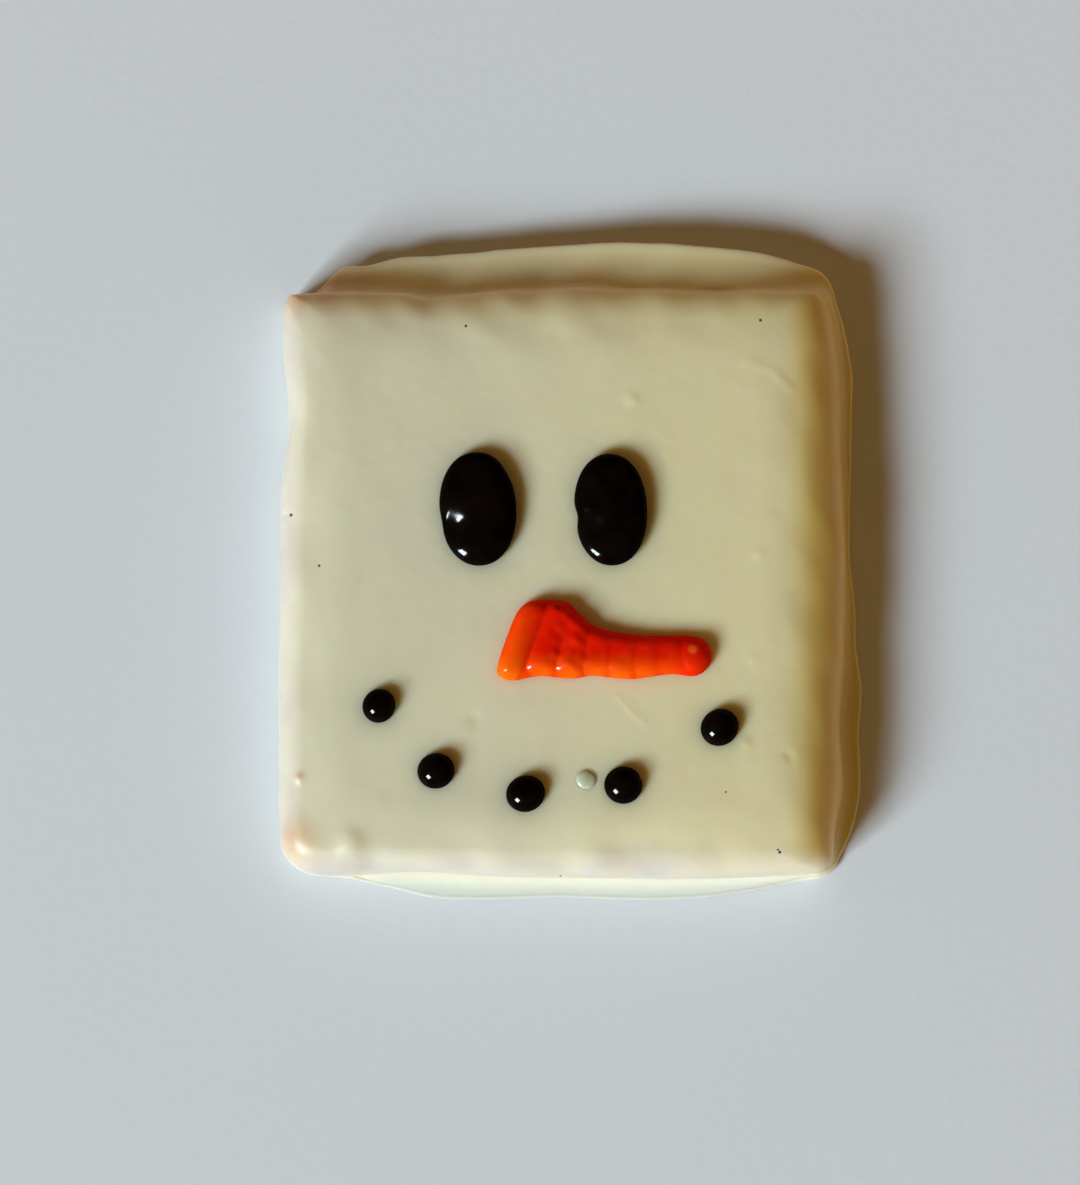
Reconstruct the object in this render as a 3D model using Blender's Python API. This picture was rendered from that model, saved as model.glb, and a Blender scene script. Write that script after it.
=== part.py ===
"""A graham cracker square dipped in white chocolate and piped with a snowman's face.

The square lies flat with its face up. X runs across the face and Y up it, and the origin is the middle
of the underside. Chocolate that ran off the dipped square has set round its base as a thin foot. The
eyes, the carrot nose and the five drops of the mouth are separate pieces of icing that lie on the face.
All sizes below are in millimetres.
"""

import math

import bmesh
import bpy
import numpy as np
from mathutils import Matrix, Vector
from mathutils.geometry import delaunay_2d_cdt

MM = 0.001
CLEARANCE = 0.3  # between a piece of icing and the face that it lies on

# The dipped square. Each side is where the wall meets the foot.
SIDES = {"right": 29.1, "back": 29.7, "left": 31.1, "front": 32.7}
OUTWARD = {"right": (1, 0), "back": (0, 1), "left": (-1, 0), "front": (0, -1)}
CORNER_RADII = {"back_right": 3.2, "back_left": 0.9, "front_left": 4.2, "front_right": 3.4}
FACE_RADII = {"back_right": 4.0, "back_left": 2.6, "front_left": 3.2, "front_right": 3.6}
CORNER_STARTS = {"back_right": 0, "back_left": 90, "front_left": 180, "front_right": 270}  # degrees
FACE_HEIGHT = 9.4
FACE_INSETS = {"right": 4.9, "back": 3.7, "left": 3.0, "front": 2.8}  # from the wall to the face's edge
SHOULDER_DROPS = {"right": 3.5, "back": 2.2, "left": 3.4, "front": 3.2}  # height of the rounded edge
SHOULDER_LEAN = 0.07  # share of the inset that the wall leans in
FACE_CROWNS = {"right": 0.5, "back": 0.4, "left": 0.45, "front": 0.5}  # how far the face falls near its edge
CROWN_WIDTH = 4.8
CROWN_SHARES = (0.35, 0.7, 1.0)  # rings across the crown's width
BACK_SAG = 0.9  # how much lower the face lies along the back
SAG_FROM = 5.0
FACE_SPACING = 4.0  # between the points that fill the face
SHOULDER_POWER = 2.1  # 2 is an ellipse, more is squarer
SHOULDER_TURNS = (8, 24, 40, 55, 70, 82, 90)  # rings round the shoulder, in degrees

# Slow swells of the wall: side, place along it, half width, how far it stands out. They fade to the
# given share at the edge of the face.
SWELL_AT_FACE = 0.3
WALL_SWELLS = (
    ("right", 30.0, 7.0, -1.0),
    ("right", -1.0, 8.0, 0.3),
    ("right", -17.0, 5.0, -0.45),
    ("right", -30.0, 5.5, -1.3),
    ("back", -31.0, 3.5, -0.3),
    ("back", -13.0, 5.0, -0.35),
    ("back", 2.0, 9.0, 0.45),
    ("left", 16.0, 5.5, -0.75),
    ("left", 31.0, 3.0, -0.5),
    ("left", -29.0, 4.0, -0.15),
    ("front", -31.5, 4.5, -0.5),
    ("front", -16.5, 5.0, -0.6),
    ("front", 9.0, 9.0, 0.25),
    ("front", 26.0, 4.0, -0.3),
)
# Hollows and humps in the rounded edge, where the coat is thin or a run of it has set. They grow up
# the wall, from the given shares of their height at its middle and where it starts to round over, and
# fade to the last share at the edge of the face.
WAVE_AT_MIDDLE = 0.2
WAVE_AT_SHOULDER = 0.4
WAVE_AT_FACE = 0.3
EDGE_WAVES = (
    ("back", -15.4, 1.9, -0.75),
    ("back", -4.0, 2.4, -0.35),
    ("back", 3.0, 2.6, -0.4),
    ("back", 12.5, 2.2, -0.25),
    ("front", -20.6, 1.7, -0.3),
    ("front", -16.0, 2.4, 0.15),
    ("front", -11.0, 1.8, -0.18),
    ("front", -5.6, 2.2, 0.16),
    ("front", -0.6, 1.8, -0.2),
    ("front", 3.6, 2.2, 0.15),
    ("front", 8.4, 1.8, -0.18),
    ("front", 13.6, 2.6, 0.15),
    ("left", 16.5, 3.0, -0.3),
    ("left", -22.4, 1.2, -0.2),
    ("right", 3.0, 4.0, 0.2),
)
# The foot: how far it reaches past the wall at places along each side.
FOOT_REACH = {
    "right": ((-31, 0.8), (-27.5, 1.9), (-24, 2.05), (-19, 2.05), (-12, 2.05), (-9, 1.4), (-4, 1.1),
              (1.5, 0.55), (6, 0.75), (12, 1.1), (17, 1.25), (22, 1.45), (25, 1.2), (28, 0.8)),
    "back": ((-27.6, 0.05), (-26.0, 1.9), (-24.8, 2.9), (-22, 3.2), (-18, 4.2), (-14, 4.6), (-1, 4.9),
             (8.6, 5.2), (15, 4.95), (21, 4.2), (24, 3.4), (26.6, 2.5), (28.4, 0.8)),
    "left": ((-30, 0.05), (30, 0.05)),
    "front": ((-26, 0.05), (-23.8, 0.2), (-20, 1.4), (-15, 2.7), (-11, 2.55), (-3, 2.15), (9, 2.15),
              (14, 2.0), (20, 1.3), (25, 0.6), (28, 0.4)),
}
FOOT_TOPS = {  # height of the foot near its outer edge
    "right": ((-30, 0.7), (12, 0.7), (20, 1.2), (24, 1.9), (28, 2.6)),
    "back": ((-28, 2.2), (-25, 2.9), (-18, 3.3), (-10, 3.4), (-2, 3.5), (4, 3.8), (10, 4.1), (18, 4.2),
             (23, 3.9), (27, 3.2)),
    "left": ((-30, 0.6), (30, 0.6)),
    "front": ((-30, 0.45), (30, 0.45)),
}
FOOT_CLIMBS = {"right": 1.0, "back": 1.5, "left": 0.6, "front": 1.0}  # how much higher at the wall
FOOT_FALL = 2.0  # how fast the foot's top flattens as it leaves the wall
FOOT_SHARES = (0.7, 0.4, 0.2, 0.0)  # rings over the foot's top, as shares of its reach
FOOT_UNDERCUT = 0.3
FOOT_EDGE_HEIGHT = 0.12
LIP_WIDTH = 0.35
LIP_HEIGHT = 0.3
LIP_TURNS = (0, 40, 90)  # rings round the lip, in degrees
SIDE_STEPS = 28
CORNER_STEPS = 7

# A bead of white chocolate on the face.
BEAD_PLACE = (1.44, -22.7)
BEAD_RADIUS = 1.05
BEAD_HEIGHT = 0.42
BEAD_SEGMENTS = 16
BEAD_RINGS = 10

# The icing: each eye is a squared ellipse, with a pinch where its two lobes meet: its angle, its half
# width in degrees and its depth.
EYES = {
    "eye_left": dict(place=(-9.85, 5.52), half=(4.02, 5.98), lean=3.0, power=2.15,
                     pinch=(198.0, 18.0, 0.16), height=2.3),
    "eye_right": dict(place=(4.02, 5.44), half=(3.82, 5.88), lean=2.5, power=2.15,
                      pinch=(190.0, 17.0, 0.34), height=2.25),
}
MOUTH_DROPS = (
    # place, the two half widths of its outline, lean in degrees, height
    ((-20.08, -15.07), (1.78, 1.7), 62.0, 1.72),
    ((-14.14, -21.82), (1.93, 1.84), 15.0, 1.8),
    ((-4.85, -24.18), (2.03, 1.88), 20.0, 1.8),
    ((5.28, -23.29), (1.98, 1.94), 0.0, 1.8),
    ((15.3, -17.31), (2.02, 1.88), 35.0, 1.85),
)
DROP_OUTLINE_POWER = 2.0
NO_PINCH = (0.0, 1.0, 0.0)
NOSE_OUTLINE = (
    (-7.8, -11.1), (-6.7, -7.6), (-5.5, -5.0), (-3.8, -4.05), (-0.7, -4.25), (0.9, -5.6), (2.8, -6.95),
    (7.1, -7.7), (12.4, -7.8), (14.15, -8.7), (14.4, -10.6), (12.9, -11.95), (10.2, -11.8),
    (6.0, -12.3), (2.1, -11.95), (0.0, -12.25), (-3.4, -12.0), (-6.1, -12.45), (-7.4, -12.1),
)
# The nose is piped to and fro: each stroke runs from its top to its bottom.
NOSE_STROKES = (
    ((-4.1, -5.3), (-6.7, -11.2)),
    ((-1.5, -5.6), (-3.2, -11.0)),
    ((0.5, -6.9), (-0.3, -11.3)),
    ((2.9, -8.4), (2.4, -11.0)),
    ((5.3, -8.9), (5.0, -11.3)),
    ((7.7, -9.1), (7.7, -11.1)),
    ((10.0, -9.2), (10.1, -10.9)),
    ((12.6, -9.6), (12.7, -10.2)),
)
NOSE_VALLEY_HEIGHT = 1.65
NOSE_RIB_HEIGHT = 0.7
NOSE_RIB_WIDTH = 1.15
NOSE_SIDE_WIDTH = 1.7  # how far in from its outline a piece of icing is still rising
DOME_POWERS = {"eye": 2.3, "drop": 2.15, "nose": 2.3}  # 2 is round, more is steeper at the side
ICING_RIM = 0.1  # height of the upright side at its outline
ICING_SPACING = {"nose": 0.95, "eye": 1.15, "drop": 0.7}
RIM_DEPTHS = (0.12, 0.45)  # closer rows of points inside an outline, where the side is steep
SHARP_ANGLE = 50.0  # degrees


def fade(distance):
    """A bell that is 1 at the middle and almost 0 at twice its half width."""
    return np.exp(-np.square(distance))


def side_weights(normals):
    """How much each side rules each point, from the way the outline faces there."""
    weights = {s: np.clip(normals @ np.array(d, float), 0, None) ** 2 for s, d in OUTWARD.items()}
    return weights


def along(points, side):
    """Places along a side: y on the left and right, x on the front and back."""
    return points[:, 1] if side in ("left", "right") else points[:, 0]


def waves(points, normals, table):
    """How far the swells or hollows of a table stand out at each point."""
    weights = side_weights(normals)
    total = np.zeros(len(points))
    for side, place, width, height in table:
        total += height * weights[side] * fade((along(points, side) - place) / width)
    return total


def stationed(points, normals, table):
    """A size that is given at stations along each side, on a smooth curve between them."""
    weights = side_weights(normals)
    total = np.zeros(len(points))
    for side, stations in table.items():
        places, values = np.array(stations, float).T
        slopes = np.gradient(values, places)
        at = np.clip(along(points, side), places[0], places[-1])
        k = np.clip(np.searchsorted(places, at) - 1, 0, len(places) - 2)
        gap = places[k + 1] - places[k]
        t = (at - places[k]) / gap
        value = values[k] * (2 * t**3 - 3 * t**2 + 1) + values[k + 1] * (3 * t**2 - 2 * t**3)
        value += gap * (slopes[k] * (t**3 - 2 * t**2 + t) + slopes[k + 1] * (t**3 - t**2))
        total += weights[side] * np.maximum(value, values.min())
    return total


def by_side(normals, table):
    """A size that is one number for each side, blended round the corners."""
    weights = side_weights(normals)
    return sum(weights[side] * value for side, value in table.items())


def sag(y):
    """How much lower the face lies at each place along y, towards the back."""
    return BACK_SAG * np.clip((y - SAG_FROM) / (SIDES["back"] - SAG_FROM), 0, 1) ** 2


def outline(share, further=0.0):
    """Points and outward normals round the square, anticlockwise from above.

    The share is how far it is drawn in, from 0 at the wall to 1 at the edge of the face."""
    side = {name: size - FACE_INSETS[name] * share - further for name, size in SIDES.items()}
    corners = []
    for name, start in CORNER_STARTS.items():
        radius = CORNER_RADII[name] + (FACE_RADII[name] - CORNER_RADII[name]) * share
        end_y, end_x = name.split("_")
        sign_x = 1 if end_x == "right" else -1
        sign_y = 1 if end_y == "back" else -1
        centre = np.array([sign_x * (side[end_x] - radius), sign_y * (side[end_y] - radius)])
        angles = np.radians(start + np.linspace(0, 90, CORNER_STEPS + 1))
        directions = np.stack([np.cos(angles), np.sin(angles)], axis=1)
        corners.append((centre + radius * directions, directions))
    points, normals = [], []
    for (arc, directions), (next_arc, _) in zip(corners, corners[1:] + corners[:1]):
        share = np.linspace(0, 1, SIDE_STEPS + 1)[1:-1, None]
        straight = arc[-1] * (1 - share) + next_arc[0] * share
        points += [arc, straight]
        normals += [directions, np.repeat(directions[-1:], len(straight), axis=0)]
    return np.concatenate(points), np.concatenate(normals)


def foot_rings():
    """Rings from the underside, round the foot's lip and over its top to the wall."""
    base, normals = outline(0)
    wall = base + normals * waves(base, normals, WALL_SWELLS)[:, None]
    reach = stationed(base, normals, FOOT_REACH)
    tops = stationed(base, normals, FOOT_TOPS)
    climb = by_side(normals, FOOT_CLIMBS)
    lip = np.minimum(LIP_WIDTH, 0.9 * reach)
    outer = (reach - lip) / reach

    def ring(out, height):
        points = wall + normals * out[:, None]
        return np.column_stack([points, height])

    def top(share):
        return tops + climb * (1 - share) ** FOOT_FALL

    low = np.zeros(len(base))
    lip_start = top(outer) - np.minimum(LIP_HEIGHT, top(outer) - FOOT_EDGE_HEIGHT - 0.02)
    rings = [ring(reach - FOOT_UNDERCUT, low), ring(reach, low + FOOT_EDGE_HEIGHT)]
    for turn in np.radians(LIP_TURNS):
        height = lip_start + (top(outer) - lip_start) * math.sin(turn)
        rings.append(ring(reach - lip * (1 - math.cos(turn)), height))
    for share in FOOT_SHARES:
        rings.append(ring(reach * outer * share, top(outer * share)))
    return rings


def slab_rings():
    """Rings of the square from the underside, up round the foot and the wall, to the middle of the face."""
    rings = foot_rings()
    normals = outline(0)[1]
    crease = rings[-1][:, 2]
    crown = by_side(normals, FACE_CROWNS)
    drop = by_side(normals, SHOULDER_DROPS)
    fall = 2 * crown / CROWN_WIDTH * by_side(normals, FACE_INSETS)
    shoulder = FACE_HEIGHT - crown - fall - drop

    def ring(share, height, swell, wave, further=0.0):
        points, out = outline(share, further)
        stand = swell * waves(points, out, WALL_SWELLS) + wave * waves(points, out, EDGE_WAVES)
        points = points + out * stand[:, None]
        lower = sag(points[:, 1]) * (height - crease) / (FACE_HEIGHT - crease)
        return np.column_stack([points, height - lower])

    rings.append(ring(SHOULDER_LEAN / 2, (crease + shoulder) / 2, 1.0, WAVE_AT_MIDDLE))
    for turn in np.radians(SHOULDER_TURNS):
        run = 1 - math.cos(turn) ** (2 / SHOULDER_POWER)
        rise = math.sin(turn) ** (2 / SHOULDER_POWER)
        height = shoulder + fall * run + drop * rise
        swell = 1 - (1 - SWELL_AT_FACE) * run
        wave = (WAVE_AT_SHOULDER + (1 - WAVE_AT_SHOULDER) * math.sin(turn)) * (1 - (1 - WAVE_AT_FACE) * run)
        rings.append(ring(SHOULDER_LEAN + (1 - SHOULDER_LEAN) * run, height, swell, wave))
    for share in CROWN_SHARES:
        left = 1 - share
        height = FACE_HEIGHT - crown * left**2
        rings.append(ring(1.0, height, SWELL_AT_FACE * left, WAVE_AT_FACE * left, CROWN_WIDTH * share))
    return rings


def rgb(red, green, blue):
    return (red, green, blue, 1.0)


def material(name, colour, roughness):
    made = bpy.data.materials.new(name)
    made.use_nodes = True
    shader = made.node_tree.nodes["Principled BSDF"]
    shader.inputs["Base Color"].default_value = colour
    shader.inputs["Roughness"].default_value = roughness
    shader.inputs["Metallic"].default_value = 0.0
    return made


def mesh_object(name, mesh, finish):
    mesh.transform(Matrix.Scale(MM, 4))
    mesh.shade_smooth()
    mesh.set_sharp_from_angle(angle=math.radians(SHARP_ANGLE))
    mesh.materials.append(finish)
    made = bpy.data.objects.new(name, mesh)
    bpy.context.scene.collection.objects.link(made)
    return made


def slab_mesh():
    """The dipped square as rings of faces, closed by a flat underside and filled in across the face."""
    form = bmesh.new()
    rings = [[form.verts.new(point) for point in ring] for ring in slab_rings()]
    for lower, upper in zip(rings, rings[1:]):
        for k in range(len(lower)):
            after = (k + 1) % len(lower)
            form.faces.new((lower[k], lower[after], upper[after], upper[k]))
    form.faces.new(rings[0][::-1])
    loop = np.array([vert.co[:2] for vert in rings[-1]])
    flat, faces = filled(loop, [], FACE_SPACING, FACE_SPACING / 2)
    middle = [form.verts.new((x, y, FACE_HEIGHT - sag(y))) for x, y in flat[len(loop):]]
    face_verts = rings[-1] + middle
    for face in faces:
        form.faces.new([face_verts[k] for k in face])
    mesh = bpy.data.meshes.new("coated_cracker")
    form.to_mesh(mesh)
    form.free()
    return mesh


def bead_mesh():
    """The bead: a low round dome whose lower half is inside the square."""
    form = bmesh.new()
    bmesh.ops.create_uvsphere(form, u_segments=BEAD_SEGMENTS, v_segments=BEAD_RINGS, radius=1.0)
    bmesh.ops.scale(form, verts=form.verts, vec=(BEAD_RADIUS, BEAD_RADIUS, BEAD_HEIGHT))
    bmesh.ops.translate(form, verts=form.verts, vec=(*BEAD_PLACE, FACE_HEIGHT))
    mesh = bpy.data.meshes.new("bead")
    form.to_mesh(mesh)
    form.free()
    return mesh


def join_bead(slab, finish):
    """A union of the bead with the square."""
    bead = mesh_object("bead", bead_mesh(), finish)
    union = slab.modifiers.new("join bead", "BOOLEAN")
    union.operation = "UNION"
    union.object = bead
    with bpy.context.temp_override(object=slab, active_object=slab, selected_objects=[slab]):
        bpy.ops.object.modifier_apply(modifier=union.name)
    bpy.data.objects.remove(bead)


def smooth_loop(corners, spacing):
    """A closed curve through the corners, as points about spacing apart."""
    corners = np.array(corners, float)
    before, after = np.roll(corners, 1, axis=0), np.roll(corners, -1, axis=0)
    tangents = (after - before) / 2
    points = []
    for k, start in enumerate(corners):
        end = after[k]
        steps = max(2, round(np.linalg.norm(end - start) / spacing))
        for t in np.arange(steps)[:, None] / steps:
            points.append(
                start * (2 * t**3 - 3 * t**2 + 1)
                + tangents[k] * (t**3 - 2 * t**2 + t)
                + end * (3 * t**2 - 2 * t**3)
                + tangents[(k + 1) % len(corners)] * (t**3 - t**2)
            )
    return np.array(points)


def oval_loop(place, half, lean, power, pinch, spacing):
    """A squared ellipse that leans to the left, pulled in over the pinch: its angle, half width and depth."""
    count = round(2 * math.pi * math.sqrt(half[0] * half[1]) / spacing)
    angles = 2 * np.pi * np.arange(count) / count
    cos, sin = np.cos(angles), np.sin(angles)
    radius = ((np.abs(cos) / half[0]) ** power + (np.abs(sin) / half[1]) ** power) ** (-1 / power)
    at, width, depth = pinch
    away = (np.degrees(angles) - at + 180) % 360 - 180
    radius = radius - depth * fade(away / width)
    turned = angles + math.radians(lean)
    return np.array(place) + np.stack([radius * np.cos(turned), radius * np.sin(turned)], axis=1)


def distance_to_segment(points, start, end):
    start, run = np.array(start, float), np.array(end, float) - np.array(start, float)
    t = np.clip(((points - start) @ run) / max(run @ run, 1e-9), 0, 1)
    return np.linalg.norm(points - start - t[:, None] * run, axis=1)


def distance_inside(points, loop):
    """Distance from each point to the outline."""
    ends = np.roll(loop, -1, axis=0)
    return np.min([distance_to_segment(points, a, b) for a, b in zip(loop, ends)], axis=0)


def inside(points, loop):
    """Which points the outline holds, by counting crossings."""
    held = np.zeros(len(points), bool)
    for (ax, ay), (bx, by) in zip(loop, np.roll(loop, -1, axis=0)):
        if ay == by:
            continue
        crosses = (points[:, 1] < ay) != (points[:, 1] < by)
        held ^= crosses & (points[:, 0] < ax + (points[:, 1] - ay) * (bx - ax) / (by - ay))
    return held


def inward_rows(loop):
    """Rows of points just inside the outline, at RIM_DEPTHS from it."""
    run = np.roll(loop, -1, axis=0) - np.roll(loop, 1, axis=0)
    run /= np.linalg.norm(run, axis=1)[:, None]
    inward = np.stack([-run[:, 1], run[:, 0]], axis=1)
    return [loop + inward * depth for depth in RIM_DEPTHS]


def filled(loop, rows, spacing, margin):
    """Points and triangles that fill a loop: its own points, rows inside it, and a staggered grid."""
    low, high = loop.min(axis=0), loop.max(axis=0)
    lines = np.arange(low[1], high[1], spacing * math.sqrt(0.75))
    columns = np.arange(low[0], high[0], spacing)
    grid = np.array([(x + spacing / 2 * (k % 2), y) for k, y in enumerate(lines) for x in columns])
    grid = grid[inside(grid, loop)]
    grid = grid[distance_inside(grid, loop) > margin]
    points = np.concatenate([loop, *rows, grid])
    edges = [(k, (k + 1) % len(loop)) for k in range(len(loop))]
    flat, _, faces, *_ = delaunay_2d_cdt([Vector(p) for p in points], edges, [], 1, 1e-5)
    return np.array([tuple(v) for v in flat]), faces


def icing_mesh(name, loop, spacing, height_at):
    """A piece of icing: a flat underside, and a top whose height is a rule of place."""
    if np.sum(loop[:, 0] * np.roll(loop[:, 1], -1) - np.roll(loop[:, 0], -1) * loop[:, 1]) < 0:
        loop = loop[::-1]
    flat, faces = filled(loop, inward_rows(loop), spacing, RIM_DEPTHS[-1] + spacing / 2)
    heights = height_at(flat, distance_inside(flat, loop))
    floor = FACE_HEIGHT + CLEARANCE
    form = bmesh.new()
    tops = FACE_HEIGHT + np.maximum(heights, CLEARANCE + ICING_RIM)
    upper = [form.verts.new((x, y, top)) for (x, y), top in zip(flat, tops)]
    for face in faces:
        form.faces.new([upper[k] for k in face])
    rim = [edge for edge in form.edges if edge.is_boundary]
    lower = bmesh.ops.extrude_edge_only(form, edges=rim)["geom"]
    lower_verts = [g for g in lower if isinstance(g, bmesh.types.BMVert)]
    for vert in lower_verts:
        vert.co.z = floor
    lower_edges = [g for g in lower if isinstance(g, bmesh.types.BMEdge) and g.is_boundary]
    bmesh.ops.contextual_create(form, geom=lower_edges)
    bmesh.ops.recalc_face_normals(form, faces=form.faces)
    mesh = bpy.data.meshes.new(name)
    form.to_mesh(mesh)
    form.free()
    return mesh


def rounded_rise(depth, width, power):
    """From 0 at the outline to 1 at width inside it, steep at first as a drop's side is."""
    t = 1 - np.clip(depth / width, 0, 1)
    return (1 - t**power) ** (1 / power)


def dome(name, kind, loop, top, width, finish):
    """A piece of icing that has reached its top at width inside its outline."""

    def height(points, depth):
        return top * rounded_rise(depth, width, DOME_POWERS[kind])

    mesh_object(name, icing_mesh(name, loop, ICING_SPACING[kind], height), finish)


def eyes(finish):
    spacing = ICING_SPACING["eye"]
    for name, eye in EYES.items():
        loop = oval_loop(eye["place"], eye["half"], eye["lean"], eye["power"], eye["pinch"], spacing)
        dome(name, "eye", loop, eye["height"], min(eye["half"]), finish)


def mouth(finish):
    spacing = ICING_SPACING["drop"]
    for number, (place, half, lean, top) in enumerate(MOUTH_DROPS, 1):
        loop = oval_loop(place, half, lean, DROP_OUTLINE_POWER, NO_PINCH, spacing)
        dome(f"mouth_drop_{number}", "drop", loop, top, min(half), finish)


def nose(finish):
    spacing = ICING_SPACING["nose"]

    def height(points, depth):
        near = [fade(distance_to_segment(points, a, b) / NOSE_RIB_WIDTH) for a, b in NOSE_STROKES]
        top = NOSE_VALLEY_HEIGHT + NOSE_RIB_HEIGHT * np.max(near, axis=0)
        return top * rounded_rise(depth, NOSE_SIDE_WIDTH, DOME_POWERS["nose"])

    mesh = icing_mesh("carrot_nose", smooth_loop(NOSE_OUTLINE, spacing), spacing, height)
    mesh_object("carrot_nose", mesh, finish)


def main():
    for old in list(bpy.data.objects):
        bpy.data.objects.remove(old)
    white_chocolate = material("white_chocolate", rgb(0.82, 0.74, 0.52), 0.35)
    dark_chocolate = material("dark_chocolate", rgb(0.012, 0.007, 0.005), 0.12)
    orange_icing = material("orange_icing", rgb(0.80, 0.10, 0.004), 0.25)
    slab = mesh_object("coated_cracker", slab_mesh(), white_chocolate)
    join_bead(slab, white_chocolate)
    eyes(dark_chocolate)
    mouth(dark_chocolate)
    nose(orange_icing)


main()
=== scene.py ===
"""Snowman cracker: a dipped cracker square with piped icing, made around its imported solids.

Every size is in millimetres unless its property says otherwise. X runs across the face, Y up it and Z
out of it, and the origin is the middle of the underside.
"""

import math

import bpy
import numpy as np
from bpy.props import FloatProperty, FloatVectorProperty, PointerProperty
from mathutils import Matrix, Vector
from mathutils.geometry import delaunay_2d_cdt


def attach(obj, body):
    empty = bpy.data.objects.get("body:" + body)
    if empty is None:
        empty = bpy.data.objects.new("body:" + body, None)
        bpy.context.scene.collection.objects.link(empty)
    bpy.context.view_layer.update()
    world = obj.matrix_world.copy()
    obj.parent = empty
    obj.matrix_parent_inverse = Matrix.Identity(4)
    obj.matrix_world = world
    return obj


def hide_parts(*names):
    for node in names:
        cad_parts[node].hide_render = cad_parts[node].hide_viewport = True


bl_info = {
    "name": "Snowman cracker",
    "version": (1, 0, 0),
    "blender": (4, 5, 0),
    "location": "3D View > Sidebar > Cracker",
    "description": "Coats a cracker square with white chocolate and pipes a snowman's face on it",
    "category": "Add Mesh",
}

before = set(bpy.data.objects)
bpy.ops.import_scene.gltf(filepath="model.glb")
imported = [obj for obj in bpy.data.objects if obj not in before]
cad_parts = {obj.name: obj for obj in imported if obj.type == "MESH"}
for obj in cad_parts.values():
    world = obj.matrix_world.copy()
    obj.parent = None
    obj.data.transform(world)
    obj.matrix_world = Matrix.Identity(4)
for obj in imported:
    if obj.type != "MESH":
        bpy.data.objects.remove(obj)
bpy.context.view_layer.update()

MM = 0.001
BODY = "root"

# ------ the form of the coated square

SIDES = {"right": 29.1, "back": 29.7, "left": 31.1, "front": 32.7}  # from the origin to each wall
OUTWARD = {"right": (1, 0), "back": (0, 1), "left": (-1, 0), "front": (0, -1)}
CORNER_STARTS = {"back_right": 0, "back_left": 90, "front_left": 180, "front_right": 270}  # degrees
CORNER_RADII = {"back_right": 3.2, "back_left": 0.9, "front_left": 4.2, "front_right": 3.4}
FACE_RADII = {"back_right": 4.0, "back_left": 2.6, "front_left": 3.2, "front_right": 3.6}
FACE_INSETS = {"right": 4.9, "back": 3.7, "left": 3.0, "front": 2.8}  # from the wall to the face
FACE_CROWNS = {"right": 0.5, "back": 0.4, "left": 0.45, "front": 0.5}  # how far the face falls
CROWN_WIDTH = 4.8  # of the strip of the face that falls
BACK_SAG = 0.9  # how much lower the face lies along the back
SAG_FROM = 5.0
SHOULDER_DROPS = {"right": 3.5, "back": 2.2, "left": 3.4, "front": 3.2}
SHOULDER_LEAN = 0.4  # how far the wall leans in below the shoulder
SHOULDER_POWER = 2.1  # 2 is a quarter of an ellipse, and more is squarer
SWELL_AT_FACE = 0.3  # share of the wall's swells at the edge of the face
WAVE_AT_SHOULDER = 0.4  # share of the edge's waves under the shoulder
WAVE_AT_FACE = 0.3
WALL_SWELLS = {  # on each side: place along it, half width, how far it stands out
    "right": ((30.0, 7.0, -1.0), (-1.0, 8.0, 0.3), (-17.0, 5.0, -0.45), (-30.0, 5.5, -1.3)),
    "back": ((-31.0, 3.5, -0.3), (-13.0, 5.0, -0.35), (2.0, 9.0, 0.45)),
    "left": ((16.0, 5.5, -0.75), (31.0, 3.0, -0.5), (-29.0, 4.0, -0.15)),
    "front": ((-31.5, 4.5, -0.5), (-16.5, 5.0, -0.6), (9.0, 9.0, 0.25), (26.0, 4.0, -0.3)),
}
EDGE_WAVES = {  # in the same order
    "back": ((-15.4, 1.9, -0.75), (-4.0, 2.4, -0.35), (3.0, 2.6, -0.4), (12.5, 2.2, -0.25)),
    "front": (
        (-20.6, 1.7, -0.3), (-16.0, 2.4, 0.15), (-11.0, 1.8, -0.18), (-5.6, 2.2, 0.16),
        (-0.6, 1.8, -0.2), (3.6, 2.2, 0.15), (8.4, 1.8, -0.18), (13.6, 2.6, 0.15),
    ),
    "left": ((16.5, 3.0, -0.3), (-22.4, 1.2, -0.2)),
    "right": ((3.0, 4.0, 0.2),),
}
FOOT_REACH = {  # place along each side and how far the foot stands out there
    "right": ((-31, 0.8), (-27.5, 1.9), (-24, 2.05), (-19, 2.05), (-12, 2.05), (-9, 1.4), (-4, 1.1),
              (1.5, 0.55), (6, 0.75), (12, 1.1), (17, 1.25), (22, 1.45), (25, 1.2), (28, 0.8)),
    "back": ((-27.6, 0.05), (-26.0, 1.9), (-24.8, 2.9), (-22, 3.2), (-18, 4.2), (-14, 4.6), (-1, 4.9),
             (8.6, 5.2), (15, 4.95), (21, 4.2), (24, 3.4), (26.6, 2.5), (28.4, 0.8)),
    "left": ((-30, 0.05), (30, 0.05)),
    "front": ((-26, 0.05), (-23.8, 0.2), (-20, 1.4), (-15, 2.7), (-11, 2.55), (-3, 2.15), (9, 2.15),
              (14, 2.0), (20, 1.3), (25, 0.6), (28, 0.4)),
}
FOOT_TOPS = {  # height of the foot at its outer edge
    "right": ((-30, 0.7), (12, 0.7), (20, 1.2), (24, 1.9), (28, 2.6)),
    "back": ((-28, 2.2), (-25, 2.9), (-18, 3.3), (-10, 3.4), (-2, 3.5), (4, 3.8), (10, 4.1), (18, 4.2),
             (23, 3.9), (27, 3.2)),
    "left": ((-30, 0.6), (30, 0.6)),
    "front": ((-30, 0.45), (30, 0.45)),
}
FOOT_EDGE_ROUGH = 0.02  # unevenness of the foot's outer edge
FOOT_UNDERCUT = 0.3
FOOT_EDGE_HEIGHT = 0.12
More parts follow.
